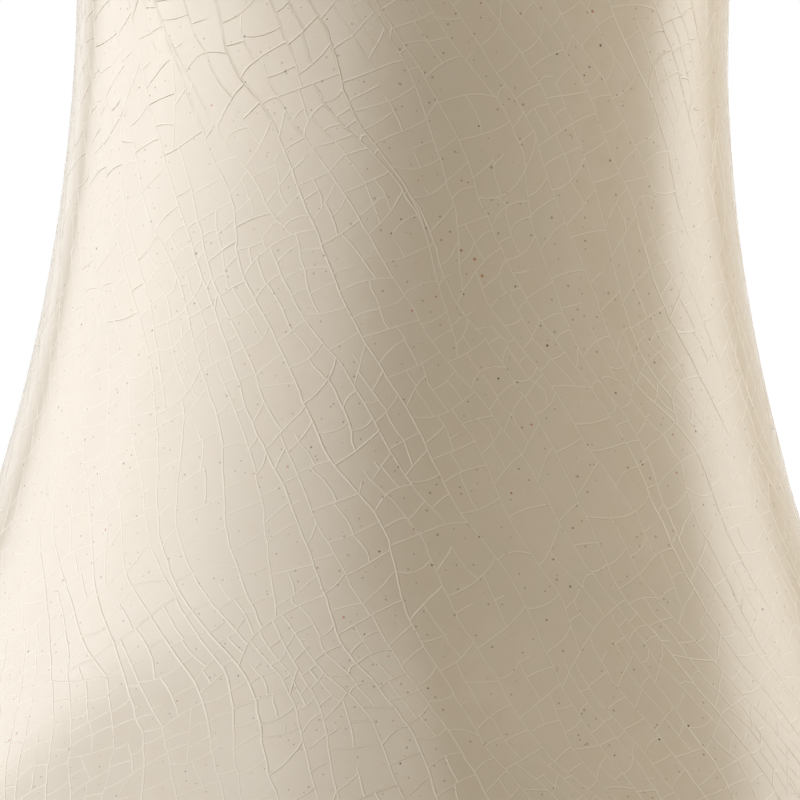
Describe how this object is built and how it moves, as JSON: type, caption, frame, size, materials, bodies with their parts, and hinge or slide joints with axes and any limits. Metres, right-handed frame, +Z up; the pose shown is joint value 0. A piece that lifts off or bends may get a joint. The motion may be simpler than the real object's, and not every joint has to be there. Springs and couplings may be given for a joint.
{
  "type": "double gourd table lamp",
  "caption": "Table lamp with a crackle-glazed double gourd ceramic body on a turned wood base, with a harp, a bulb and a tapered linen shade.",
  "frame": {"origin": "on the table, under the lamp's axis, at the middle of the felt pad's underside", "axes": "+Z up along the rod, -Y towards the front, where the switch knob points; the cord leaves at +Y"},
  "size_m": [0.4074, 0.4074, 0.7907],
  "materials": {
    "felt": "dark grey-green pressed felt",
    "turned_wood": "dark stained turned wood, satin lacquer",
    "bushing_plastic": "moulded black nylon",
    "gasket_rubber": "cut sheet rubber",
    "crackle_glaze": "ivory gloss glaze with fine crackle and iron specks",
    "aged_brass": "turned brass, soft antique polish",
    "zinc_steel": "zinc plated",
    "plated_steel": "brass plated steel wire and strip",
    "socket_brass": "drawn sheet brass, bright",
    "cardboard": "pressed insulating board",
    "phenolic": "moulded phenolic",
    "contact_metal": "thin rolled metal",
    "knob_plastic": "moulded black plastic",
    "solder": "solder",
    "black_glass": "pressed black glass",
    "frosted_glass": "inside frosted",
    "clear_glass": "clear",
    "lead_wire": "drawn wire",
    "linen": "off-white plain weave linen",
    "liner_sheet": "white styrene sheet",
    "linen_tape": "folded linen tape"
  },
  "bodies": {
    "root": {"felt_pad": "felt", "base_plinth": "turned_wood", "cord_bushing": "bushing_plastic", "foot_gasket": "gasket_rubber", "gourd_body": "crackle_glaze", "mouth_gasket": "gasket_rubber", "vase_cap": "aged_brass", "threaded_rod": "zinc_steel", "rod_washer": "zinc_steel", "base_nut": "zinc_steel", "check_ring": "aged_brass", "neck_tube": "aged_brass", "harp_saddle": "plated_steel", "lock_nut": "plated_steel", "socket_cap": "socket_brass", "socket_set_screw": "zinc_steel", "socket_shell": "socket_brass", "socket_liner": "cardboard", "socket_body": "phenolic", "terminal_screws": "socket_brass", "screw_shell": "contact_metal", "centre_contact": "contact_metal"},
    "switch": {"switch_stem": "socket_brass", "switch_knob": "knob_plastic"},
    "bulb": {"bulb_tip": "solder", "bulb_insulator": "black_glass", "bulb_screw": "contact_metal", "bulb_glass": "frosted_glass", "bulb_mount": "clear_glass", "lead_wires": "lead_wire", "filament": "lead_wire"},
    "harp": {"harp_bow": "plated_steel"},
    "sleeve_left": {"harp_sleeve_left": "plated_steel"},
    "sleeve_right": {"harp_sleeve_right": "plated_steel"},
    "swivel": {"harp_stud": "aged_brass"},
    "shade": {"shade_cloth": "linen", "shade_liner": "liner_sheet", "shade_spider": "plated_steel", "shade_bottom_ring": "plated_steel", "shade_top_trim": "linen_tape", "shade_bottom_trim": "linen_tape"},
    "finial": {"finial": "aged_brass"}
  },
  "joints": [
    {"name": "switch_turn", "type": "hinge", "parent": "root", "child": "switch", "pos_m": [0, -0.027, 0.57183], "axis": [0, -1, 0], "continuous": true},
    {"name": "bulb_turn", "type": "hinge", "parent": "root", "child": "bulb", "pos_m": [0, 0, 0.6], "axis": [0, 0, 1], "continuous": true},
    {"name": "harp_lift", "type": "slide", "parent": "root", "child": "harp", "axis": [0, 0, 1], "range_m": [0, 0.04]},
    {"name": "sleeve_left_slide", "type": "slide", "parent": "harp", "child": "sleeve_left", "axis": [0, 0, 1], "range_m": [0, 0.0135]},
    {"name": "sleeve_right_slide", "type": "slide", "parent": "harp", "child": "sleeve_right", "axis": [0, 0, 1], "range_m": [0, 0.0135]},
    {"name": "shade_swivel", "type": "hinge", "parent": "harp", "child": "swivel", "pos_m": [0, 0, 0.7518], "axis": [0, 0, 1], "continuous": true},
    {"name": "shade_lift", "type": "slide", "parent": "swivel", "child": "shade", "axis": [0, 0, 1], "range_m": [0, 0.26]},
    {"name": "finial_turn", "type": "hinge", "parent": "shade", "child": "finial", "pos_m": [0, 0, 0.775], "axis": [0, 0, 1], "continuous": true}
  ]
}
